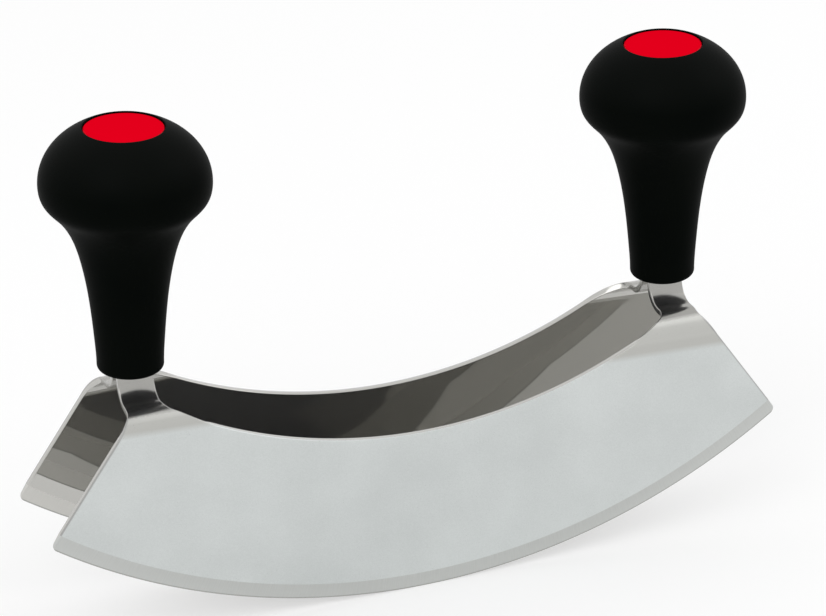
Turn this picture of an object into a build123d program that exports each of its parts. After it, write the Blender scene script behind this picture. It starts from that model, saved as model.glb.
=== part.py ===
from build123d import *
import math
import os

os.makedirs("parts", exist_ok=True)

# A mezzaluna with two blades, in millimetres and degrees. X runs along the blades, the front blade
# lies on the -Y side and Z is up. The origin is on the table, midway between the lowest points of
# the two cutting edges.

# Blades: two crescents of sheet, each with a joggled neck and a tang at both ends
edge_radius = 200.2
blade_half_angle = 35.2
blade_width = 51.7
sheet = 2.0
blade_spacing = 33.5
bevel_width = 5.0
bevel_land = 0.3
tip_radius = 2.0
tang_width = 10.8
tang_gap = 3.0
tang_set_share = 0.138
tang_length = 32.0
tang_lean = 1.0
neck_drop = 1.7
neck_straight = 1.25
crease_tilt = 1.5
lower_bend = 6.5
upper_bend = 7.0
outer_shoulder_radius = 4.0
inner_shoulder_radius = 5.0
trim_overrun = 5.0

# Grips: a tapering stem under a mushroom knob, with a well in its top and a pocket in its foot
grip_height = 74.3
foot_radius = 9.7
foot_round = 1.6
knob_radius = 24.65
knob_drop = 16.75
lip_round = 0.3
well_radius = 9.2
well_depth = 20.0
pocket_clearance = 0.15
# Outline of the stem under the knob: share of the way from foot radius to knob radius, then
# share of the way from the foot up to the knob's widest place
stem_shares = [(0.026, 0.159), (0.116, 0.401), (0.245, 0.592), (0.4, 0.723), (0.715, 0.853), (0.941, 0.923)]
# Outline of the dome over the knob: a curve drawn towards a corner straight above the widest
# place. The corner's height is a share of the knob's drop, and the pull is a share of a full one
dome_corner_share = 0.68
dome_pull_share = 0.89

# Caps: a flat disc let into the knob, with a skirt that plugs the well
cap_radius = 11.5
cap_flange = 2.0
cap_sink = 0.2
cap_clearance = 0.15
cap_edge_round = 0.5
skirt_wall = 1.4
skirt_depth = 7.0

# Hidden fixings: a stud with a flat foot between the tangs, rivets, washer and nut
stud_radius = 3.0
stud_stand_out = 2.5
rivet_radius = 2.0
rivet_head_radius = 3.4
rivet_shares = (0.3, 0.72)
washer_radius = 6.4
washer_thickness = 1.6
nut_across_flats = 10.0
nut_height = 5.0
thread_chamfer = 0.6
fixing_clearance = 0.1

# Places worked out from the sizes above
half_angle = math.radians(blade_half_angle)
back_radius = edge_radius - blade_width
blade_y = blade_spacing / 2
tang_y = (tang_gap + sheet) / 2
shoulder_radius = back_radius + tang_set_share * blade_width
shoulder_x = shoulder_radius * math.sin(half_angle)
shoulder_z = edge_radius - shoulder_radius * math.cos(half_angle)
neck_x = shoulder_x - tang_width / 2
tang_inner_x = neck_x - tang_width / 2
back_z = edge_radius - math.sqrt(back_radius**2 - tang_inner_x**2)
neck_z = back_z - neck_drop
tip_x = edge_radius * math.sin(half_angle)
tip_z = edge_radius - edge_radius * math.cos(half_angle)
# The grip's foot stands a short straight run above the upper bend
foot_rise = upper_bend + neck_straight
# Heights above the grip's foot, along its axis; the knob is widest at its drop below the lip
knob_height = grip_height - knob_drop
well_floor = grip_height - well_depth
cap_top = grip_height - cap_sink
recess_floor = cap_top - cap_flange
nut_seat = well_floor + washer_thickness
stud_top = nut_seat + nut_height + stud_stand_out
# Radii
recess_radius = cap_radius + cap_clearance
lip_radius = recess_radius + lip_round
bore_radius = stud_radius + fixing_clearance


def axis_plane(side, height):
    """Plane square to a grip's leaning axis, at a height above the grip's foot."""
    lean = math.radians(tang_lean)
    up = Vector(-side * math.sin(lean), 0, math.cos(lean))
    along = Vector(math.cos(lean), 0, side * math.sin(lean))
    neck = Vector(side * neck_x, 0, neck_z)
    return Plane(origin=neck + up * (foot_rise + height), x_dir=along, z_dir=up)


def upright(plane):
    """The same place turned so that X is a radius and Y runs along the plane's old normal."""
    return Plane(origin=plane.origin, x_dir=plane.x_dir, z_dir=-plane.y_dir)


def axis_of(plane):
    return Axis(plane.origin, plane.z_dir)


def rivet_planes(side):
    """Planes at the rivets' middles, their normals along the rivets, towards the front."""
    return [upright(axis_plane(side, share * tang_length)) for share in rivet_shares]


def save(part, name):
    part.label = name
    export_step(part, f"parts/{name}.step")


def bent_sheet(side):
    """Long strip of sheet that stands flat, turns back level at the neck and rises as a tang."""
    tilt = math.radians(crease_tilt)
    plane = Plane(
        origin=(side * neck_x, 0, neck_z),
        x_dir=(0, -1, 0),
        z_dir=(-math.cos(tilt), 0, side * math.sin(tilt)),
    )
    with BuildPart() as strip:
        with BuildSketch(plane):
            with BuildLine():
                FilletPolyline(
                    (blade_y, -edge_radius / 2),
                    (blade_y, 0),
                    (tang_y, 0),
                    (tang_y, foot_rise + tang_length + trim_overrun),
                    radius=[lower_bend, upper_bend],
                )
            trace(line_width=sheet)
        extrude(amount=blade_width, both=True)
    return strip.part


def blade_outline():
    """Crescent with a leaning tang at each end, seen from the front."""
    tang_top = foot_rise + tang_length
    tang_root = tang_width / 2
    with BuildSketch(Plane.XZ) as outline:
        with BuildLine():
            centre = (0, edge_radius)
            edge = CenterArc(centre, edge_radius, -90 - blade_half_angle, 2 * blade_half_angle)
            back = CenterArc(centre, back_radius, -90 - blade_half_angle, 2 * blade_half_angle)
            Line(edge @ 0, back @ 0)
            Line(edge @ 1, back @ 1)
        make_face()
        for side in (-1, 1):
            with Locations(Location((side * neck_x, neck_z, 0), (0, 0, side * tang_lean))):
                with Locations((0, (tang_top - tang_root) / 2)):
                    Rectangle(tang_width, tang_top + tang_root)
        for side in (-1, 1):
            shoulders = (
                ((side * tip_x, tip_z), tip_radius),
                ((side * shoulder_x, shoulder_z), outer_shoulder_radius),
                ((side * tang_inner_x, back_z), inner_shoulder_radius),
            )
            for corner, radius in shoulders:
                fillet(outline.vertices().sort_by_distance(corner)[0], radius=radius)
    return outline.sketch


def front_sheet():
    """The front blade's sheet, cut to its outline and ground to an edge from both faces."""
    with BuildPart() as blade:
        with BuildSketch(Plane.XZ.offset(blade_y)):
            with Locations((0, neck_z / 2 - 2 * lower_bend)):
                Rectangle(2 * neck_x, neck_z)
        extrude(amount=sheet / 2, both=True)
        for side in (-1, 1):
            add(bent_sheet(side))
        extrude(blade_outline(), amount=blade_spacing, mode=Mode.INTERSECT)
        for face in (-1, 1):
            face_y = -blade_y + face * sheet / 2
            land_y = -blade_y + face * bevel_land / 2
            with BuildSketch(Plane.YZ):
                with BuildLine():
                    Polyline(
                        (face_y, bevel_width),
                        (land_y, 0),
                        (land_y, -trim_overrun),
                        (face_y + face * trim_overrun, -trim_overrun),
                        (face_y + face * trim_overrun, bevel_width),
                        close=True,
                    )
                make_face()
            revolve(axis=Axis((0, 0, edge_radius), (0, 1, 0)), mode=Mode.SUBTRACT)
        for side in (-1, 1):
            with Locations([plane.offset(tang_y + sheet / 2) for plane in rivet_planes(side)]):
                CounterSinkHole(
                    radius=rivet_radius + fixing_clearance,
                    counter_sink_radius=rivet_head_radius + fixing_clearance,
                    counter_sink_angle=90,
                )
    return blade.part


def make_grip(side):
    """Moulded grip: a turned form, with its well and stud bore, and a pocket for the tangs."""
    foot = axis_plane(side, 0)
    reach = knob_radius - foot_radius
    stem = [(foot_radius + out * reach, up * knob_height) for out, up in stem_shares]
    with BuildPart() as grip:
        with BuildSketch(upright(foot)):
            with BuildLine():
                start = Line((bore_radius, 0), (foot_radius - foot_round, 0))
                corner = CenterArc((foot_radius - foot_round, foot_round), foot_round, -90, 90)
                widest = (knob_radius, knob_height)
                Spline([corner @ 1, *stem, widest], tangents=[(0, 1), (0, 1)])
                Bezier(
                    widest,
                    (knob_radius, knob_height + dome_corner_share * knob_drop),
                    (lip_radius, grip_height),
                    weights=[1, dome_pull_share, 1],
                )
                lip = CenterArc((lip_radius, grip_height - lip_round), lip_round, 90, 90)
                Polyline(
                    lip @ 1,
                    (recess_radius, recess_floor),
                    (well_radius, recess_floor),
                    (well_radius, well_floor),
                    (bore_radius, well_floor),
                    start @ 0,
                )
            make_face()
        revolve(axis=axis_of(foot))
        with BuildSketch(foot):
            Rectangle(
                tang_width + 2 * pocket_clearance, tang_gap + 2 * sheet + 2 * pocket_clearance
            )
        extrude(amount=tang_length, mode=Mode.SUBTRACT)
    return grip.part


def make_cap(side):
    """Disc that lies a little below the knob's lip, with a skirt in the well."""
    foot = axis_plane(side, 0)
    skirt_radius = well_radius - cap_clearance
    with BuildPart() as cap:
        with BuildSketch(upright(foot)):
            with BuildLine():
                rim = CenterArc(
                    (cap_radius - cap_edge_round, cap_top - cap_edge_round), cap_edge_round, 0, 90
                )
                Polyline(
                    rim @ 0,
                    (cap_radius, recess_floor),
                    (skirt_radius, recess_floor),
                    (skirt_radius, recess_floor - skirt_depth),
                    (skirt_radius - skirt_wall, recess_floor - skirt_depth),
                    (skirt_radius - skirt_wall, recess_floor),
                    (0, recess_floor),
                    (0, cap_top),
                    rim @ 1,
                )
            make_face()
        revolve(axis=axis_of(foot))
    return cap.part


def make_stud(side):
    """Flat foot between the two tangs, with a threaded shank above it, drawn without its thread."""
    with BuildPart() as stud:
        with BuildSketch(axis_plane(side, 0)):
            Rectangle(tang_width, tang_gap)
        extrude(amount=tang_length)
        with BuildSketch(axis_plane(side, tang_length)):
            Circle(stud_radius)
        extrude(amount=stud_top - tang_length)
        chamfer(stud.edges().sort_by(axis_of(axis_plane(side, 0)))[-1], length=thread_chamfer)
        with Locations([plane.offset(tang_gap / 2) for plane in rivet_planes(side)]):
            Hole(radius=rivet_radius + fixing_clearance, depth=tang_gap)
    return stud.part


def make_rivets(side):
    """Rivets through tang, foot and tang, with flush countersunk heads."""
    half_length = tang_gap / 2 + sheet
    head_depth = rivet_head_radius - rivet_radius
    with BuildPart() as rivets:
        for plane in rivet_planes(side):
            with BuildSketch(upright(plane)):
                with BuildLine():
                    Polyline(
                        (0, -half_length),
                        (rivet_head_radius, -half_length),
                        (rivet_radius, -half_length + head_depth),
                        (rivet_radius, half_length - head_depth),
                        (rivet_head_radius, half_length),
                        (0, half_length),
                        close=True,
                    )
                make_face()
            revolve(axis=axis_of(plane))
    return rivets.part


def make_washer(side):
    with BuildPart() as washer:
        with BuildSketch(axis_plane(side, well_floor)):
            Circle(washer_radius)
            Circle(bore_radius, mode=Mode.SUBTRACT)
        extrude(amount=washer_thickness)
    return washer.part


def make_nut(side):
    """Hexagon nut with its corners turned off at both faces, drawn without its thread."""
    seat = axis_plane(side, nut_seat)
    with BuildPart() as nut:
        with BuildSketch(seat):
            Circle(nut_across_flats / math.sqrt(3))
        extrude(amount=nut_height)
        chamfer(nut.edges().filter_by(GeomType.CIRCLE), length=thread_chamfer)
        with BuildSketch(seat):
            RegularPolygon(radius=nut_across_flats / 2, side_count=6, major_radius=False)
            Circle(bore_radius, mode=Mode.SUBTRACT)
        extrude(amount=nut_height, mode=Mode.INTERSECT)
    return nut.part


# Both blades are the same sheet, turned to face outwards
with BuildPart() as front_blade:
    add(front_sheet())
save(front_blade.part, "front_blade")

with BuildPart() as rear_blade:
    mirror(front_blade.part, about=Plane.XZ)
save(rear_blade.part, "rear_blade")

for side, end in ((-1, "left"), (1, "right")):
    save(make_grip(side), f"{end}_grip")
    save(make_cap(side), f"{end}_cap")
    save(make_stud(side), f"{end}_stud")
    save(make_rivets(side), f"{end}_rivets")
    save(make_washer(side), f"{end}_washer")
    save(make_nut(side), f"{end}_nut")
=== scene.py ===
import math

import bmesh
import bpy
import numpy as np
from mathutils import Matrix, Vector


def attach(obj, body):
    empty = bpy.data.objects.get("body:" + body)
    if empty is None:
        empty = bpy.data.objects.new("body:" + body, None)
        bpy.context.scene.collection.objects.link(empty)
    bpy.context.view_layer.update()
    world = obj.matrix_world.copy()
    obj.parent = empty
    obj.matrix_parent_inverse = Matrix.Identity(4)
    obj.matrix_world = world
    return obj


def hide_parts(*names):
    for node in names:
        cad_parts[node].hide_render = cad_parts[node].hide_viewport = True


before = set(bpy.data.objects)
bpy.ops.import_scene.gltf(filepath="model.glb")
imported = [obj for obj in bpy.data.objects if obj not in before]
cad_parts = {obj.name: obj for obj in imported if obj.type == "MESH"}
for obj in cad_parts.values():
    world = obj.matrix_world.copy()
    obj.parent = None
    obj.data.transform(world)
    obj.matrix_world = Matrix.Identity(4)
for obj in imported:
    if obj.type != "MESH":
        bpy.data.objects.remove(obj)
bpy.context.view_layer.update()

# Sizes are in millimetres, as the maker would give them, and become metres in new_piece
MM = 0.001

# Blades: a crescent of sheet with a tang at both ends, cut flat and then folded over the necks
EDGE_RADIUS = 200.2
BLADE_HALF_ANGLE = math.radians(35.2)
BLADE_WIDTH = 51.7
HALF_SHEET = 1.0
BLADE_Y = 16.75
BEVEL_WIDTH = 5.0
HALF_LAND = 0.15
TIP_RADIUS = 2.0
OUTER_SHOULDER = 4.0
INNER_SHOULDER = 5.0
BURR_ROUND = 0.3
TANG_WIDTH = 10.8
TANG_Y = 2.5
TANG_LENGTH = 32.0
TANG_LEAN = math.radians(1.0)
NECK_X = 84.31
NECK_Z = 72.7
CREASE_TILT = math.radians(1.5)
LOWER_BEND = 6.5
UPPER_BEND = 7.0
NECK_STRAIGHT = 1.25

# Grips, measured from the foot along the leaning axis
GRIP_HEIGHT = 74.3
FOOT_RADIUS = 9.7
FOOT_ROUND = 1.6
KNOB_RADIUS = 24.65
KNOB_DROP = 16.75
KNOB_HEIGHT = GRIP_HEIGHT - KNOB_DROP
STEM_SHARES = (
    (0.026, 0.159),
    (0.116, 0.401),
    (0.245, 0.592),
    (0.4, 0.723),
    (0.715, 0.853),
    (0.941, 0.923),
)
DOME_CORNER_SHARE = 0.68
DOME_PULL_SHARE = 0.89
LIP_ROUND = 0.3
RECESS_RADIUS = 11.65
WELL_RADIUS = 9.2
WELL_DEPTH = 20.0
BORE_RADIUS = 3.1
POCKET_CLEARANCE = 0.15
POCKET_HALF_WIDTH = TANG_WIDTH / 2 + POCKET_CLEARANCE
POCKET_HALF_DEPTH = TANG_Y + HALF_SHEET + POCKET_CLEARANCE

# Caps
CAP_RADIUS = 11.5
CAP_SINK = 0.2
CAP_FLANGE = 2.0
CAP_ROUND = 0.5
CAP_CROWN = 0.12
SKIRT_RADIUS = 9.05
SKIRT_WALL = 1.4
SKIRT_DEPTH = 7.0

# Spacing of the meshes' points. A guard is a narrow face beside a sharp line, which keeps the
# smooth shading of one side off the other
OUTLINE_STEP = 0.2
ROUND_STEP = 0.05
STATION_STEP = 1.2
BEND_STEP = 0.28
TANG_STEP = 2.0
GUARD = 0.15
RECESS_GUARD = 0.2
SKIRT_GUARD = 0.1
MERGE_DISTANCE = 0.002

# Finish of the blades. The bands are heights over the crease in the neck: over it the polished neck
# is painted darker as shade, and under it are painted shade bands and a painted highlight strip
POLISHED_SHADED_NECK = (-0.8, 0.0)
PAINTED_HIGHLIGHT_STRIP = (-1.9, -0.9)
PALER_PAINTED_SHADE = (-4.4, -3.0)
WARM_PAINTED_SHADE = (-8.2, -6.2)
DULLER_POLISH = (-9.0, -2.0)
BAND_SLOPE = 0.028
SATIN_PIT = 0.4
GRIND_MARK = 0.35
ROLLED_CLOUD = 30.0
RELIEF = 0.008
DISH_TOP = 48.5
DISH_RADIUS = 458.0

# Places worked out from the sizes
CENTRE = np.array([0.0, EDGE_RADIUS])
BACK_RADIUS = EDGE_RADIUS - BLADE_WIDTH
BEVEL_TOP_RADIUS = EDGE_RADIUS - BEVEL_WIDTH
NECK = np.array([NECK_X, NECK_Z])
TANG_UP = np.array([-math.sin(TANG_LEAN), math.cos(TANG_LEAN)])
TANG_SIDE = np.array([math.cos(TANG_LEAN), math.sin(TANG_LEAN)])
CREASE_UP = np.array([math.sin(CREASE_TILT), math.cos(CREASE_TILT)])
CREASE_ALONG = np.array([-math.cos(CREASE_TILT), math.sin(CREASE_TILT)])
FOOT_RISE = UPPER_BEND + NECK_STRAIGHT
SHELF_LENGTH = BLADE_Y - LOWER_BEND - TANG_Y - UPPER_BEND
FOLD_START = -LOWER_BEND
SHELF_START = FOLD_START + LOWER_BEND * math.pi / 2
SHELF_END = SHELF_START + SHELF_LENGTH
FOLD_END = SHELF_END + UPPER_BEND * math.pi / 2
TANG_END = FOLD_END + NECK_STRAIGHT + TANG_LENGTH


def new_piece(name, points, faces):
    """A mesh from points in millimetres, with coinciding points merged and smooth shading."""
    mesh = bpy.data.meshes.new(name)
    mesh.from_pydata((points.reshape(-1, 3) * MM).tolist(), [], faces.tolist())
    form = bmesh.new()
    form.from_mesh(mesh)
    bmesh.ops.remove_doubles(form, verts=form.verts, dist=MERGE_DISTANCE * MM)
    bmesh.ops.dissolve_degenerate(form, edges=form.edges, dist=MERGE_DISTANCE / 2 * MM)
    form.to_mesh(mesh)
    form.free()
    mesh.polygons.foreach_set("use_smooth", [True] * len(mesh.polygons))
    piece = bpy.data.objects.new(name, mesh)
    bpy.context.scene.collection.objects.link(piece)
    return piece


def grid_faces(rows, columns, rows_close=False, columns_close=False, flip=False):
    """Quads of a grid of points; a closed direction joins its last line to its first."""
    row = np.arange(rows if rows_close else rows - 1)
    column = np.arange(columns if columns_close else columns - 1)
    row, column = np.meshgrid(row, column, indexing="ij")
    next_row, next_column = (row + 1) % rows, (column + 1) % columns
    corners = [
        row * columns + column,
        row * columns + next_column,
        next_row * columns + next_column,
        next_row * columns + column,
    ]
    faces = np.stack(corners, axis=-1).reshape(-1, 4)
    return faces[:, ::-1] if flip else faces


def heading(angle):
    """Unit vectors in the sheet's flat plane, turned from straight down towards +X."""
    return np.stack([np.sin(angle), -np.cos(angle)], axis=-1)


def ramp(start, end, step):
    """Even steps of at most the given length, both ends included."""
    return np.linspace(start, end, max(2, int(math.ceil(abs(end - start) / step)) + 1))


def outer_outline():
    """The flat sheet's outer side, from the middle of the cutting edge to the tang's top.

    An arc about the blade's centre, a tip arc tangent to it and to the radial end line, that line,
    an arc in the shoulder and the leaning line of the tang. Each point has its outward direction,
    and the lengths at which the tip starts and ends come with them.
    """
    tip_share = math.asin(TIP_RADIUS / (EDGE_RADIUS - TIP_RADIUS))
    tip_angle = BLADE_HALF_ANGLE - tip_share
    tip_centre = CENTRE + (EDGE_RADIUS - TIP_RADIUS) * heading(tip_angle)
    tip_radial = (EDGE_RADIUS - TIP_RADIUS) * math.cos(tip_share)
    tip_turn = BLADE_HALF_ANGLE + math.pi / 2
    end_line = heading(BLADE_HALF_ANGLE)
    end_side = np.array([math.cos(BLADE_HALF_ANGLE), math.sin(BLADE_HALF_ANGLE)])
    # The corner is where the radial end line meets the tang's line
    tang_root = NECK + TANG_WIDTH / 2 * TANG_SIDE
    corner_radius, _ = np.linalg.solve(np.stack([end_line, -TANG_UP], axis=-1), tang_root - CENTRE)
    corner = CENTRE + corner_radius * end_line
    tangent = OUTER_SHOULDER * math.tan((BLADE_HALF_ANGLE - TANG_LEAN) / 2)
    shoulder_centre = corner + tangent * end_line + OUTER_SHOULDER * end_side

    arc = ramp(0, tip_angle, OUTLINE_STEP / EDGE_RADIUS)
    tip = ramp(tip_angle, tip_turn, ROUND_STEP / TIP_RADIUS)
    radii = ramp(tip_radial, corner_radius + tangent, OUTLINE_STEP)
    turn = ramp(BLADE_HALF_ANGLE, TANG_LEAN, ROUND_STEP / OUTER_SHOULDER)
    rise = ramp(tangent, tangent + TANG_END + LOWER_BEND, OUTLINE_STEP)
    turn_side = np.stack([np.cos(turn), np.sin(turn)], axis=-1)
    points = [
        CENTRE + EDGE_RADIUS * heading(arc),
        tip_centre + TIP_RADIUS * heading(tip),
        CENTRE + radii[:, None] * end_line,
        shoulder_centre - OUTER_SHOULDER * turn_side,
        corner + rise[:, None] * TANG_UP,
    ]
    outward = [
        heading(arc),
        heading(tip),
        np.tile(end_side, (len(radii), 1)),
        turn_side,
        np.tile(TANG_SIDE, (len(rise), 1)),
    ]
    tip_start = EDGE_RADIUS * tip_angle
    tip_end = tip_start + TIP_RADIUS * (tip_turn - tip_angle)
    return np.concatenate(points), np.concatenate(outward), tip_start, tip_end


def inner_outline():
    """The flat sheet's inner side, from the middle of its back to the tang's top: the back's arc,
    an arc in the corner, tangent to it and to the tang, and the leaning line of the tang."""
    tang_root = NECK - TANG_WIDTH / 2 * TANG_SIDE
    # The corner arc's centre is one radius from the tang's line and inside the back's circle
    from_centre = tang_root - INNER_SHOULDER * TANG_SIDE - CENTRE
    along = from_centre @ TANG_UP
    missing = (BACK_RADIUS - INNER_SHOULDER) ** 2 - from_centre @ from_centre + along**2
    climb = -along - math.sqrt(missing)
    corner_centre = CENTRE + from_centre + climb * TANG_UP
    corner_angle = math.atan2(*((corner_centre - CENTRE) * [1, -1]))

    arc = ramp(0, corner_angle, OUTLINE_STEP / BACK_RADIUS)
    corner = ramp(corner_angle, math.pi / 2 + TANG_LEAN, ROUND_STEP / INNER_SHOULDER)
    rise = ramp(climb, climb + TANG_END + 2 * LOWER_BEND, OUTLINE_STEP)
    points = [
        CENTRE + BACK_RADIUS * heading(arc),
        corner_centre + INNER_SHOULDER * heading(corner),
        tang_root + rise[:, None] * TANG_UP,
    ]
    outward = [-heading(arc), -heading(corner), np.tile(-TANG_SIDE, (len(rise), 1))]
    return np.concatenate(points), np.concatenate(outward)


def fold_height(points):
    """Distance of a flat point above the crease at the neck, square to the crease."""
    return (points - NECK) @ CREASE_UP


def fold(points, offset):
    """Folds the flat sheet: below the crease it stays upright, then it turns back over the lower
    bend, runs level, turns up over the upper bend and ends as the tang.

    A point keeps its place along the crease. Its height above the crease is a length along the
    side view, where each bend takes a share of it as an arc, and the point's offset from the
    sheet's middle is laid along the side view's normal.
    """
    height = fold_height(points)
    along = (points - NECK) @ CREASE_ALONG
    lower = np.clip((height - FOLD_START) / LOWER_BEND, 0, math.pi / 2)
    upper = np.clip((height - SHELF_END) / UPPER_BEND, 0, math.pi / 2)
    level = np.clip(height - SHELF_START, 0, SHELF_LENGTH)
    forward = BLADE_Y - LOWER_BEND * (1 - np.cos(lower)) - level - UPPER_BEND * np.sin(upper)
    rise = np.minimum(height, FOLD_START) + LOWER_BEND * np.sin(lower)
    rise += UPPER_BEND * (1 - np.cos(upper)) + np.maximum(height - FOLD_END, 0)
    forward = forward + offset * np.cos(lower - upper)
    rise = rise + offset * np.sin(lower - upper)
    place = NECK + rise[..., None] * CREASE_UP + along[..., None] * CREASE_ALONG
    return np.stack([place[..., 0], -forward, place[..., 1]], axis=-1)


def lengths_along(points):
    """Length from the first of a line of points to each of them."""
    return np.concatenate([[0], np.cumsum(np.linalg.norm(np.diff(points, axis=0), axis=1))])


def read_at(lengths, at, values):
    """Values of a line of points, read at given lengths along it."""
    return np.stack([np.interp(at, lengths, column) for column in values.T], axis=-1)


def half_thickness(points):
    """Half the sheet's thickness: full above the bevel's top, then a straight taper to the land."""
    radius = np.linalg.norm(points - CENTRE, axis=-1)
    taper = np.clip((radius - BEVEL_TOP_RADIUS) / BEVEL_WIDTH, 0, 1)
    return HALF_SHEET - (HALF_SHEET - HALF_LAND) * taper


def blade_stations():
    """Matching points of both outlines for the +X half: pairs that a straight line across the
    sheet joins. They fan out round the end of the blade and lie along the crease in the neck.
    The tip's fan starts at 0.8 of the back's length and takes 1 mm of it."""
    outer, outer_out, tip_start, tip_end = outer_outline()
    inner, inner_out = inner_outline()
    outer_lengths, inner_lengths = lengths_along(outer), lengths_along(inner)
    neck_foot = FOLD_START - 2 * BURR_ROUND
    bends = ramp(neck_foot, FOLD_END + NECK_STRAIGHT, BEND_STEP)
    neck = np.concatenate([bends, ramp(bends[-1], bends[-1] + TANG_LENGTH, TANG_STEP)[1:]])
    end_part = outer_lengths > tip_end
    outer_neck = np.interp(neck, fold_height(outer)[end_part], outer_lengths[end_part])
    inner_neck = np.interp(neck, fold_height(inner), inner_lengths)
    inner_tip = 0.8 * inner_neck[0]
    at_outer = [
        ramp(0, tip_start, STATION_STEP),
        ramp(tip_start, tip_end, OUTLINE_STEP)[1:],
        ramp(tip_end, outer_neck[0], STATION_STEP)[1:],
    ]
    at_inner = [
        np.linspace(0, inner_tip, len(at_outer[0])),
        np.linspace(inner_tip, inner_tip + 1, len(at_outer[1]) + 1)[1:],
        np.linspace(inner_tip + 1, inner_neck[0], len(at_outer[2]) + 1)[1:],
    ]
    at_outer = np.concatenate([*at_outer, outer_neck[1:]])
    at_inner = np.concatenate([*at_inner, inner_neck[1:]])
    return (
        read_at(inner_lengths, at_inner, inner),
        read_at(inner_lengths, at_inner, inner_out),
        read_at(outer_lengths, at_outer, outer),
        read_at(outer_lengths, at_outer, outer_out),
    )


def blade(name, facing):
    """One blade as a ring of points carried from tang to tang.

    Each ring lies on a straight line across the flat sheet. It goes over the front from the back
    of the blade to the bevel's top and on to the edge, round the edge, over the rear and round
    the back, with quarter arcs where the burr was taken off. The rings are then folded.
    """
    inner, inner_out, outer, outer_out = blade_stations()
    outer_round = np.minimum(BURR_ROUND, 0.7 * half_thickness(outer))[:, None]
    start = inner - BURR_ROUND * inner_out
    end = outer - outer_round * outer_out
    span = np.linalg.norm(end - start, axis=1)[:, None]
    direction = (end - start) / span
    # Where each line crosses the bevel's top: the far root of its meeting with that circle
    from_centre = start - CENTRE
    half_root = (from_centre * direction).sum(1)[:, None]
    rest = (from_centre**2).sum(1)[:, None] - BEVEL_TOP_RADIUS**2
    crossing = -half_root + np.sqrt(np.maximum(half_root**2 - rest, 0))
    bevel_top = np.clip(crossing, 0, span)
    face_shares = np.linspace(0, 1, 15)
    bevel_shares = np.array([0.03, 0.25, 0.5, 0.75, 0.97, 1.0])
    places = np.concatenate(
        [
            np.zeros_like(span),
            GUARD + (bevel_top - 2 * GUARD) * face_shares,
            bevel_top,
            bevel_top + (span - bevel_top) * bevel_shares,
        ],
        axis=1,
    )
    front = start[:, None] + places[..., None] * direction[:, None]
    front_offset = half_thickness(front)

    quarter = np.radians([22.5, 45.0, 67.5, 90.0])
    out, back = np.sin(quarter), 1 - np.cos(quarter)
    outer_ring = end[:, None] + outer_round[:, None] * out[:, None] * outer_out[:, None]
    outer_offset = front_offset[:, -1:] - outer_round * back
    inner_ring = start[:, None] + BURR_ROUND * out[:, None] * inner_out[:, None]
    inner_offset = front_offset[:, :1] - BURR_ROUND * back
    over_front = np.concatenate([front, outer_ring], axis=1)
    over_front_offset = np.concatenate([front_offset, outer_offset], axis=1)
    flat = [over_front, over_front[:, ::-1], inner_ring, inner_ring[:, ::-1]]
    offset = [over_front_offset, -over_front_offset[:, ::-1], -inner_offset, inner_offset[:, ::-1]]
    flat, offset = np.concatenate(flat, axis=1), np.concatenate(offset, axis=1)
    # The tang's end is closed by one more ring that has no thickness
    flat = np.concatenate([flat, flat[-1:]])
    offset = np.concatenate([offset, 0 * offset[-1:]])
    half = fold(flat, offset)
    ring = np.concatenate([half[:0:-1] * [-1, 1, 1], half])
    faces = grid_faces(ring.shape[0], ring.shape[1], columns_close=True, flip=facing < 0)
    return new_piece(name, ring * [1, facing, 1], faces)


def smooth_line(points, steps, first, last):
    """A cubic spline through points, spaced by their distances, with given directions at its
    ends. Its tangents solve the rows that make its second derivative run on at each point."""
    knots = lengths_along(points)
    gaps = np.diff(knots)
    slopes = np.diff(points, axis=0) / gaps[:, None]
    count = len(points)
    matrix, right = np.eye(count), np.zeros((count, 2))
    right[0], right[-1] = first, last
    middle = np.arange(1, count - 1)
    matrix[middle, middle - 1] = gaps[1:]
    matrix[middle, middle] = 2 * (gaps[:-1] + gaps[1:])
    matrix[middle, middle + 1] = gaps[:-1]
    right[1:-1] = 3 * (gaps[1:, None] * slopes[:-1] + gaps[:-1, None] * slopes[1:])
    tangents = np.linalg.solve(matrix, right)
    at = np.linspace(0, knots[-1], steps)
    piece = np.clip(np.searchsorted(knots, at, side="right") - 1, 0, count - 2)
    gap = gaps[piece][:, None]
    share = (at[:, None] - knots[piece][:, None]) / gap
    return (
        (1 + 2 * share) * (1 - share) ** 2 * points[piece]
        + share * (1 - share) ** 2 * gap * tangents[piece]
        + share**2 * (3 - 2 * share) * points[piece + 1]
        + share**2 * (share - 1) * gap * tangents[piece + 1]
    )


def arc_points(centre, radius, start, end, steps):
    """Points of a circle's arc, angles in degrees from straight out."""
    angle = np.radians(np.linspace(start, end, steps))
    return np.asarray(centre) + np.stack([np.cos(angle), np.sin(angle)], axis=-1) * radius


def drawn_curve(start, corner, end, pull, steps):
    """A curve from start to end that sets out and arrives along lines through the corner, and is
    drawn towards it by a share of a full pull: a rational Bezier curve of the second degree."""
    share = np.linspace(0, 1, steps)[:, None]
    first, middle, last = (1 - share) ** 2, 2 * pull * share * (1 - share), share**2
    weighted = first * np.array(start) + middle * np.array(corner) + last * np.array(end)
    return weighted / (first + middle + last)


def straight(start, end):
    """Both ends of a line and its middle."""
    start, end = np.array(start), np.array(end)
    return np.stack([start, (start + end) / 2, end])


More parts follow.
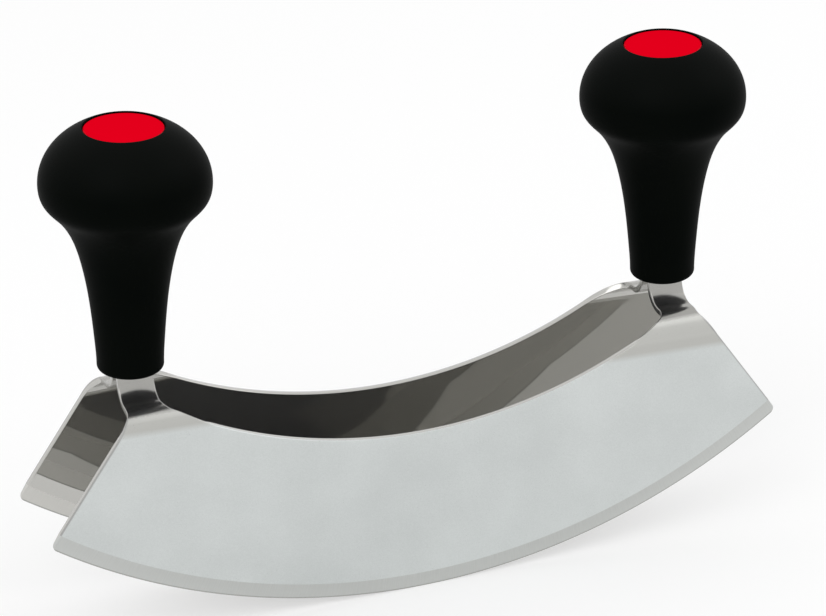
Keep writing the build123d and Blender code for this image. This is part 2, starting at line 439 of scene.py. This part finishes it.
def turned(name, radii, heights, angles, side, rows_close):
    """Rings about a grip's leaning axis: a point's radius and angle lie square to the axis."""
    lean_along = np.array([math.cos(TANG_LEAN), 0, side * math.sin(TANG_LEAN)])
    lean_up = np.array([-side * math.sin(TANG_LEAN), 0, math.cos(TANG_LEAN)])
    foot = np.array([side * NECK_X, 0, NECK_Z]) + FOOT_RISE * lean_up
    sideways = np.array([0.0, 1.0, 0.0])
    points = (
        foot
        + (radii * np.cos(angles))[..., None] * lean_along
        + (radii * np.sin(angles))[..., None] * sideways
        + (heights + 0 * radii)[..., None] * lean_up
    )
    faces = grid_faces(points.shape[0], points.shape[1], rows_close=rows_close, columns_close=True)
    return new_piece(name, points, faces)


def grip_outline():
    """Outside of the grip from its foot to the recess: foot round, stem spline, dome, rounded
    lip."""
    reach = KNOB_RADIUS - FOOT_RADIUS
    widest = (KNOB_RADIUS, KNOB_HEIGHT)
    stem = [(FOOT_RADIUS + out * reach, up * KNOB_HEIGHT) for out, up in STEM_SHARES]
    stem = np.array([(FOOT_RADIUS, FOOT_ROUND), *stem, widest])
    dome_corner = (KNOB_RADIUS, KNOB_HEIGHT + DOME_CORNER_SHARE * KNOB_DROP)
    lip_radius = RECESS_RADIUS + LIP_ROUND
    flat_foot = FOOT_RADIUS - FOOT_ROUND
    return [
        straight((flat_foot - 1.0, 0), (flat_foot - GUARD, 0)),
        arc_points((flat_foot, FOOT_ROUND), FOOT_ROUND, -90, 0, 12),
        smooth_line(stem, 90, (0, 1), (0, 1))[1:],
        drawn_curve(widest, dome_corner, (lip_radius, GRIP_HEIGHT), DOME_PULL_SHARE, 60)[1:],
        arc_points((lip_radius, GRIP_HEIGHT - LIP_ROUND), LIP_ROUND, 90, 180, 7)[1:],
    ]


def grip(side, name):
    """The moulded grip: its turned outside, then recess, well and stud bore, and a rectangular
    pocket for the tangs, all as one closed skin of rings. In the pocket a ring's radius is the
    distance from the axis to the rectangle at each angle, and its corners are points of the
    ring."""
    corner = math.atan2(POCKET_HALF_DEPTH, POCKET_HALF_WIDTH)
    short_side = np.linspace(0, corner, 13)[:-1]
    long_side = np.linspace(corner, math.pi / 2, 21)[:-1]
    quarter = np.concatenate([short_side, long_side])
    half = np.concatenate([quarter, [math.pi / 2], math.pi - quarter[:0:-1]])
    angles = np.concatenate([half, half + math.pi])[None]
    pocket = np.minimum(
        POCKET_HALF_WIDTH / np.maximum(np.abs(np.cos(angles)), 1e-6),
        POCKET_HALF_DEPTH / np.maximum(np.abs(np.sin(angles)), 1e-6),
    )
    recess_top = GRIP_HEIGHT - LIP_ROUND - RECESS_GUARD
    cap_seat = GRIP_HEIGHT - CAP_SINK - CAP_FLANGE
    floor = GRIP_HEIGHT - WELL_DEPTH
    round_part = np.concatenate(
        grip_outline()
        + [
            straight((RECESS_RADIUS, recess_top), (RECESS_RADIUS, cap_seat)),
            straight((WELL_RADIUS, cap_seat), (WELL_RADIUS, floor)),
            straight((BORE_RADIUS, floor), (BORE_RADIUS, TANG_LENGTH)),
        ]
    )
    radii = np.concatenate([round_part[:, :1] + 0 * angles, pocket, pocket, pocket])
    heights = np.concatenate([round_part[:, 1], [TANG_LENGTH, GUARD, 0.0]])[:, None]
    return turned(name, radii, heights, angles, side, rows_close=True)


def cap(side, name):
    """The cap: a disc crowned as a shallow parabola, with a rounded rim, a flange and a skirt."""
    top = GRIP_HEIGHT - CAP_SINK
    seat = top - CAP_FLANGE
    rim = CAP_RADIUS - CAP_ROUND
    rim_top = top - CAP_CROWN - CAP_ROUND
    crown = np.linspace(0, rim, 24)
    crown_line = np.stack([crown, top - CAP_CROWN * (crown / rim) ** 2], axis=-1)[::-1]
    inside = SKIRT_RADIUS - SKIRT_WALL
    outline = np.concatenate(
        [
            straight((0, seat), (inside, seat)),
            straight((inside, seat - SKIRT_GUARD), (inside, seat - SKIRT_DEPTH)),
            straight((SKIRT_RADIUS, seat - SKIRT_DEPTH), (SKIRT_RADIUS, seat)),
            straight((CAP_RADIUS, seat), (CAP_RADIUS, rim_top)),
            arc_points((rim, rim_top), CAP_ROUND, 0, 90, 9)[1:],
            crown_line[1:],
        ]
    )
    angles = np.linspace(0, 2 * math.pi, 128, endpoint=False)[None]
    radii, heights = outline[:, :1] + 0 * angles, outline[:, 1:]
    return turned(name, radii, heights, angles, side, rows_close=False)


def linear(hex_colour):
    """An sRGB hex colour as the linear colour that a shader takes."""
    parts = [int(hex_colour[i : i + 2], 16) / 255 for i in (1, 3, 5)]
    return (*(c / 12.92 if c <= 0.04045 else ((c + 0.055) / 1.055) ** 2.4 for c in parts), 1.0)


def add_node(tree, kind, inputs=None, output=None, **settings):
    """A node with its settings, and with each input set to a value or linked to another's
    output. It gives the output that is asked for, or else the node."""
    node = tree.nodes.new("ShaderNode" + kind)
    for name, value in settings.items():
        setattr(node, name, value)
    for name, value in (inputs or {}).items():
        if isinstance(value, bpy.types.NodeSocket):
            tree.links.new(value, node.inputs[name])
        else:
            node.inputs[name].default_value = value
    return node if output is None else node.outputs[output]


def new_material(name):
    """An empty material and its tree, with the output ready."""
    material = bpy.data.materials.new(name)
    material.use_nodes = True
    tree = material.node_tree
    tree.nodes.clear()
    return material, tree, add_node(tree, "OutputMaterial")


def across(value, low, high):
    """What a Map Range node takes to go from 0 to 1 between two places in millimetres."""
    return {"Value": value, "From Min": low * MM, "From Max": high * MM}


def spread(noise, low, high):
    """What a Map Range node takes to spread the usual range of a noise over two values."""
    return {"Value": noise, "From Min": 0.3, "From Max": 0.7, "To Min": low, "To Max": high}


def spots(place, size, detail=2.0):
    """What a Noise node takes to draw spots of the given size in millimetres."""
    return {"Vector": place, "Scale": 1 / (size * MM), "Detail": detail}


def sheet_masks(tree, y, from_neck):
    """Masks of a blade's outer half, of its satin outside and of what is polished over the neck and
    painted darker there as shade.

    They follow the depth through the sheet: its distance from the lower bend's axis, which runs
    straight down beside the flat sheet.
    """
    wide = add_node(tree, "Math", {0: y}, 0, operation="ABSOLUTE")
    bend_y = (BLADE_Y - LOWER_BEND) * MM
    past_axis = add_node(tree, "Math", {0: wide, 1: bend_y}, 0, operation="SUBTRACT")
    raised = add_node(tree, "Math", {0: from_neck, 1: LOWER_BEND * MM}, 0, operation="ADD")
    over_axis = add_node(tree, "Math", {0: raised, 1: 0.0}, 0, operation="MAXIMUM")
    from_axis = add_node(tree, "CombineXYZ", {"Y": past_axis, "Z": over_axis}, 0)
    depth = add_node(tree, "VectorMath", {0: from_axis}, "Value", operation="LENGTH")
    outer_half = add_node(tree, "MapRange", across(depth, LOWER_BEND - 0.02, LOWER_BEND + 0.02), 0)
    skin = add_node(tree, "MapRange", across(depth, LOWER_BEND + 0.2, LOWER_BEND + 0.8), 0)
    neck_polish_and_shade = add_node(tree, "MapRange", across(from_neck, *POLISHED_SHADED_NECK), 0)
    under_neck = add_node(tree, "Math", {0: 1.0, 1: neck_polish_and_shade}, 0, operation="SUBTRACT")
    outside = add_node(tree, "Math", {0: skin, 1: under_neck}, 0, operation="MULTIPLY")
    return outer_half, outside, neck_polish_and_shade


def satin_and_painted_band_colour(tree, x, height, from_neck, cloud, grain):
    """The satin outside: pale grey that varies a little with the rolling and the grit.

    Under the pressed necks, further down on the right, it has warm grey painted shade bands,
    standing in for the bends' reflections, and a painted highlight strip right under the crease.
    Both ends of the crescent have a thin darker line at their corners.
    """
    mottle = add_node(tree, "Math", {0: cloud, 1: grain}, 0, operation="ADD")
    tone = add_node(tree, "MapRange", {"Value": mottle, "From Min": 0.75, "From Max": 1.25}, 0)
    pale = {"Factor": tone, 6: linear("#C6CAC9"), 7: linear("#D1D5D4")}
    satin = add_node(tree, "Mix", pale, 2, data_type="RGBA")
    lowered = add_node(tree, "Math", {0: x, 1: BAND_SLOPE}, 0, operation="MULTIPLY")
    painted_band_height = add_node(tree, "Math", {0: from_neck, 1: lowered}, 0, operation="ADD")
    # Distance past the radial end line, square to it
    end_side = (math.cos(BLADE_HALF_ANGLE), 0.0, math.sin(BLADE_HALF_ANGLE))
    wide = add_node(tree, "Math", {0: x}, 0, operation="ABSOLUTE")
    from_centre = add_node(tree, "CombineXYZ", {"X": wide, "Z": height}, 0)
    sides = {0: from_centre, 1: end_side}
    from_end = add_node(tree, "VectorMath", sides, "Value", operation="DOT_PRODUCT")
    # Painted shade bands and a painted highlight strip, standing in for the bends' reflections
    # under the neck
    for place, band, colour in (
        (painted_band_height, WARM_PAINTED_SHADE, "#B8B8B4"),
        (painted_band_height, PALER_PAINTED_SHADE, "#BCBCB8"),
        (from_neck, PAINTED_HIGHLIGHT_STRIP, "#C8C8C4"),
        # a thin darker line along the corners at both ends of the crescent
        (from_end, (-0.5, -0.1), "#9C9C9A"),
    ):
        mask = add_node(tree, "MapRange", across(place, *band), 0)
        layers = {"Factor": mask, 6: satin, 7: linear(colour)}
        satin = add_node(tree, "Mix", layers, 2, data_type="RGBA")
    return satin


def ground_colour(tree, radius, marks, outer_half):
    """The ground bevel: streaked by its marks, cooler outside and warmer inside, with a dark
    honed line along the edge."""
    warm = {"Factor": marks, 6: linear("#C1C0BB"), 7: linear("#CFCECA")}
    cool = {"Factor": marks, 6: linear("#B8BAB7"), 7: linear("#C9CBC9")}
    warm, cool = (add_node(tree, "Mix", c, 2, data_type="RGBA") for c in (warm, cool))
    sides = {"Factor": outer_half, 6: warm, 7: cool}
    ground = add_node(tree, "Mix", sides, 2, data_type="RGBA")
    honed = add_node(tree, "MapRange", across(radius, EDGE_RADIUS - 0.5, EDGE_RADIUS - 0.3), 0)
    layers = {"Factor": honed, 6: ground, 7: linear("#9FA09C")}
    return add_node(tree, "Mix", layers, 2, data_type="RGBA")


def blade_steel():
    """Stainless steel sheet: satin on the outsides, polished inside and over the necks, and
    ground across the bevel. That gives an even pale face, dark mirrored insides and a duller
    band along the edge. The necks are painted darker as shade, and the satin under them has painted
    shade bands and a painted highlight strip."""
    material, tree, output = new_material("stainless_steel_satin_polished_and_ground")
    place = add_node(tree, "TexCoord", output="Object")
    xyz = add_node(tree, "SeparateXYZ", {0: place})
    x, y, z = (xyz.outputs[axis] for axis in "XYZ")
    from_neck = add_node(tree, "Math", {0: z, 1: NECK_Z * MM}, 0, operation="SUBTRACT")
    outer_half, outside, neck_polish_and_shade = sheet_masks(tree, y, from_neck)
    inside = add_node(tree, "Math", {0: 1.0, 1: outside}, 0, operation="SUBTRACT")

    # Polar place about the blade's centre, for the bevel and its grinding marks
    height = add_node(tree, "Math", {0: z, 1: EDGE_RADIUS * MM}, 0, operation="SUBTRACT")
    flat = add_node(tree, "CombineXYZ", {"X": x, "Z": height}, 0)
    radius = add_node(tree, "VectorMath", {0: flat}, "Value", operation="LENGTH")
    border = across(radius, BEVEL_TOP_RADIUS - 0.1, BEVEL_TOP_RADIUS + 0.1)
    bevel = add_node(tree, "MapRange", border, 0)
    angle = add_node(tree, "Math", {0: x, 1: height}, 0, operation="ARCTAN2")
    run = add_node(tree, "Math", {0: angle, 1: EDGE_RADIUS * MM}, 0, operation="MULTIPLY")
    # Marks run across the bevel. Real ones are some 0.05 mm apart; 0.35 mm still shows in a render
    mark_place = add_node(tree, "CombineXYZ", {"X": run, "Y": radius}, 0)
    stretched = add_node(tree, "Mapping", {"Vector": mark_place, "Scale": (1, 0.03, 1)}, 0)
    marks = add_node(tree, "TexNoise", spots(stretched, GRIND_MARK, 3.0), "Fac")
    # Satin grain: real grit leaves pits of some 0.05 mm; 0.4 mm still shows in a render
    pits = spots(place, SATIN_PIT, 4.0) | {"Roughness": 0.6}
    grain = add_node(tree, "TexNoise", pits, "Fac")
    # Rolled sheet varies slowly over some 30 mm
    cloud = add_node(tree, "TexNoise", spots(place, ROLLED_CLOUD), "Fac")

    # The neck over the crease is painted darker, as shade that stands in for the reflection of the
    # grip's dark foot and its shadow
    polish = {"Factor": neck_polish_and_shade, 6: linear("#BBBAB6"), 7: linear("#A1A09C")}
    mirror_and_neck_shade = add_node(tree, "Mix", polish, 2, data_type="RGBA")
    satin = satin_and_painted_band_colour(tree, x, height, from_neck, cloud, grain)
    sheet = {"Factor": outside, 6: mirror_and_neck_shade, 7: satin}
    sheet = add_node(tree, "Mix", sheet, 2, data_type="RGBA")
    ground = ground_colour(tree, radius, marks, outer_half)
    whole = {"Factor": bevel, 6: sheet, 7: ground}
    colour = add_node(tree, "Mix", whole, 2, data_type="RGBA")

    satin_rough = add_node(tree, "MapRange", spread(grain, 0.27, 0.36), 0)
    duller = across(from_neck, *DULLER_POLISH) | {"To Min": 0.025, "To Max": 0.17}
    mirror_rough = add_node(tree, "MapRange", duller, 0)
    sheet_rough = add_node(tree, "Mix", {"Factor": outside, 2: mirror_rough, 3: satin_rough}, 0)
    rough = add_node(tree, "Mix", {"Factor": bevel, 2: sheet_rough, 3: 0.38}, 0)

    # Under mid height the insides lean up a little, as on a cylinder of 458 mm: the height of
    # their relief is the square of the distance under its top, over twice the radius
    under = add_node(tree, "Math", {0: DISH_TOP * MM, 1: z}, 0, operation="SUBTRACT")
    under = add_node(tree, "Math", {0: under, 1: 0.0}, 0, operation="MAXIMUM")
    square = add_node(tree, "Math", {0: under, 1: under}, 0, operation="MULTIPLY")
    diameter = 2 * DISH_RADIUS * MM
    dish = add_node(tree, "Math", {0: square, 1: diameter}, 0, operation="DIVIDE")
    dished = add_node(tree, "Bump", {"Height": dish, "Strength": inside, "Distance": 1.0}, 0)
    pitted = add_node(tree, "Math", {0: grain, 1: outside}, 0, operation="MULTIPLY")
    scored = add_node(tree, "Math", {0: marks, 1: bevel}, 0, operation="MULTIPLY")
    relief = add_node(tree, "Math", {0: pitted, 1: scored}, 0, operation="ADD")
    texture = {"Height": relief, "Strength": 0.2, "Distance": RELIEF * MM, "Normal": dished}
    bump = add_node(tree, "Bump", texture, 0)
    # Fine scratches in the polish scatter a part of the light widely, as a rough coat does, and
    # veil the dark reflections in grey
    finish = {
        "Base Color": colour,
        "Metallic": 1.0,
        "Roughness": rough,
        "Normal": bump,
        "Coat Weight": inside,
        "Coat Roughness": 0.6,
    }
    shader = add_node(tree, "BsdfPrincipled", finish, 0)
    tree.links.new(shader, output.inputs["Surface"])
    return material


def moulded_plastic(name, dark, light, roughness, shine, side_gloss, top_gloss, grit, relief):
    """Injection-moulded plastic: an even colour under the fine texture of its mould. Its gloss
    is a coat, which goes from one weight on the sides to another on what looks up. The grit is
    the size of the texture's spots and the relief their depth, both in millimetres."""
    material, tree, output = new_material(name)
    coordinates = add_node(tree, "TexCoord")
    place = coordinates.outputs["Object"]
    facing = add_node(tree, "SeparateXYZ", {0: coordinates.outputs["Normal"]}, "Z")
    weights = {"From Min": 0.2, "From Max": 0.97, "To Min": side_gloss, "To Max": top_gloss}
    gloss = add_node(tree, "MapRange", {"Value": facing} | weights, 0)
    texture = add_node(tree, "TexNoise", spots(place, grit, 3.0), "Fac")
    cloud = add_node(tree, "TexNoise", spots(place, 20.0), "Fac")
    mottle = {"Factor": cloud, 6: linear(dark), 7: linear(light)}
    colour = add_node(tree, "Mix", mottle, 2, data_type="RGBA")
    rough = add_node(tree, "MapRange", spread(texture, roughness - 0.04, roughness + 0.04), 0)
    depth = {"Height": texture, "Strength": 0.5, "Distance": relief * MM}
    bump = add_node(tree, "Bump", depth, 0)
    finish = {
        "Base Color": colour,
        "Roughness": rough,
        "Specular IOR Level": shine,
        "Normal": bump,
        "Coat Weight": gloss,
        "Coat Roughness": roughness,
    }
    shader = add_node(tree, "BsdfPrincipled", finish, 0)
    tree.links.new(shader, output.inputs["Surface"])
    return material


def fastener_steel():
    """Zinc-plated steel, turned and tumbled: pale, slightly bluish and softly mottled."""
    material, tree, output = new_material("zinc_plated_steel_tumbled")
    place = add_node(tree, "TexCoord", output="Object")
    mottle = add_node(tree, "TexNoise", spots(place, 0.6, 3.0), "Fac")
    tones = {"Factor": mottle, 6: linear("#A9AEB2"), 7: linear("#C6CACC")}
    colour = add_node(tree, "Mix", tones, 2, data_type="RGBA")
    rough = add_node(tree, "MapRange", spread(mottle, 0.3, 0.42), 0)
    finish = {"Base Color": colour, "Metallic": 1.0, "Roughness": rough}
    shader = add_node(tree, "BsdfPrincipled", finish, 0)
    tree.links.new(shader, output.inputs["Surface"])
    return material


def seen_directly(tree):
    """1 for rays that the camera, a mirror or glass sends, which see the bright background."""
    path = add_node(tree, "LightPath")
    rays = (path.outputs[f"Is {kind} Ray"] for kind in ("Camera", "Glossy", "Transmission"))
    seen = 0.0
    for ray in rays:
        seen = add_node(tree, "Math", {0: seen, 1: ray}, 0, operation="MAXIMUM")
    return seen


def studio_floor():
    """A white painted floor, 8 m wide. It glows a little for direct rays, which keeps it white
    but leaves the object's shadow on it and in its reflections."""
    reach = 4000.0
    corners = [[-reach, -reach, 0], [reach, -reach, 0], [reach, reach, 0], [-reach, reach, 0]]
    floor = new_piece("studio_floor", np.array(corners), np.array([[0, 1, 2, 3]]))
    material, tree, output = new_material("white_painted_floor")
    paint = add_node(tree, "BsdfDiffuse", {"Color": linear("#F6F6F6")}, 0)
    glow = add_node(tree, "Emission", {"Color": (1, 1, 1, 1), "Strength": 1.0}, 0)
    share = add_node(tree, "Math", {0: seen_directly(tree), 1: 0.4}, 0, operation="MULTIPLY")
    mixed = add_node(tree, "MixShader", {0: share, 1: paint, 2: glow}, 0)
    tree.links.new(mixed, output.inputs["Surface"])
    floor.data.materials.append(material)


def studio_world():
    """White all round for direct rays, and a slightly softer even fill for everything else."""
    world = bpy.data.worlds.new("studio")
    bpy.context.scene.world = world
    world.use_nodes = True
    tree = world.node_tree
    levels = {"Value": seen_directly(tree), "To Min": 0.95, "To Max": 1.0}
    strength = add_node(tree, "MapRange", levels, 0)
    background = tree.nodes["Background"]
    background.inputs["Color"].default_value = (1, 1, 1, 1)
    tree.links.new(strength, background.inputs["Strength"])


def soft_box(name, place, size, power):
    """A square lamp that looks at the middle of the object; place and size are in metres."""
    data = bpy.data.lights.new(name, "AREA")
    data.size, data.energy = size, power
    lamp = bpy.data.objects.new(name, data)
    lamp.location = Vector(place)
    to_object = Vector((0, 0, 0.08)) - lamp.location
    lamp.rotation_euler = to_object.to_track_quat("-Z", "Y").to_euler()
    bpy.context.scene.collection.objects.link(lamp)


# Camera: found by fitting the object's edges to the photograph
CAMERA_AZIMUTH = math.radians(21.384)
CAMERA_ELEVATION = math.radians(25.03)
CAMERA_ROLL = math.radians(-0.636)
CAMERA_DISTANCE = 1077.1 * MM
CAMERA_TARGET = Vector((3.16, 0.0, 83.8)) * MM
CAMERA_LENS = 159.25
CAMERA_SENSOR = 36.0


def photo_camera():
    """Camera turned from +Y towards +X by the azimuth, looking down, with a slight roll."""
    forward = Vector(
        (
            math.sin(CAMERA_AZIMUTH) * math.cos(CAMERA_ELEVATION),
            math.cos(CAMERA_AZIMUTH) * math.cos(CAMERA_ELEVATION),
            -math.sin(CAMERA_ELEVATION),
        )
    )
    level = Vector((math.cos(CAMERA_AZIMUTH), -math.sin(CAMERA_AZIMUTH), 0.0))
    above = level.cross(forward)
    right = level * math.cos(CAMERA_ROLL) + above * math.sin(CAMERA_ROLL)
    up = above * math.cos(CAMERA_ROLL) - level * math.sin(CAMERA_ROLL)
    place = Matrix((right, up, -forward)).transposed().to_4x4()
    place.translation = CAMERA_TARGET - forward * CAMERA_DISTANCE
    data = bpy.data.cameras.new("photo_camera")
    data.lens, data.sensor_width = CAMERA_LENS, CAMERA_SENSOR
    data.clip_start, data.clip_end = 0.05, 20.0
    camera = bpy.data.objects.new("photo_camera", data)
    camera.matrix_world = place
    bpy.context.scene.collection.objects.link(camera)
    bpy.context.scene.camera = camera


def dress(piece, material, node):
    """A new piece takes its material, stands for its CAD node and rides on the body."""
    piece.data.materials.append(material)
    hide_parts(node)
    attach(piece, "root")


steel = blade_steel()
fastener = fastener_steel()
# Polypropylene from a spark-eroded mould: matt black, with a faint sheen on the dome
black_plastic = moulded_plastic(
    "polypropylene_moulded_matt",
    "#030504",
    "#070907",
    roughness=0.5,
    shine=0.01,
    side_gloss=0.0,
    top_gloss=0.06,
    grit=0.3,
    relief=0.01,
)
# ABS from a polished mould, rubbed dull on its flat top: saturated red with a clear highlight on
# its rim
red_plastic = moulded_plastic(
    "abs_moulded_glossy",
    "#D60019",
    "#DB001A",
    roughness=0.28,
    shine=0.0,
    side_gloss=1.0,
    top_gloss=0.0,
    grit=0.5,
    relief=0.002,
)

dress(blade("front_blade_sheet", 1), steel, "front_blade")
dress(blade("rear_blade_sheet", -1), steel, "rear_blade")
for side, end in ((-1, "left"), (1, "right")):
    dress(grip(side, f"{end}_grip_moulding"), black_plastic, f"{end}_grip")
    dress(cap(side, f"{end}_cap_moulding"), red_plastic, f"{end}_cap")
    for fixing in ("stud", "rivets", "washer", "nut"):
        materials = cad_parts[f"{end}_{fixing}"].data.materials
        materials.clear()
        materials.append(fastener)

studio_floor()
studio_world()
soft_box("key_left", (-0.9, -0.8, 1.1), 1.1, 5.0)
soft_box("fill_right", (1.1, -0.3, 0.9), 0.8, 2.0)
photo_camera()
bpy.context.scene.view_settings.view_transform = "Standard"
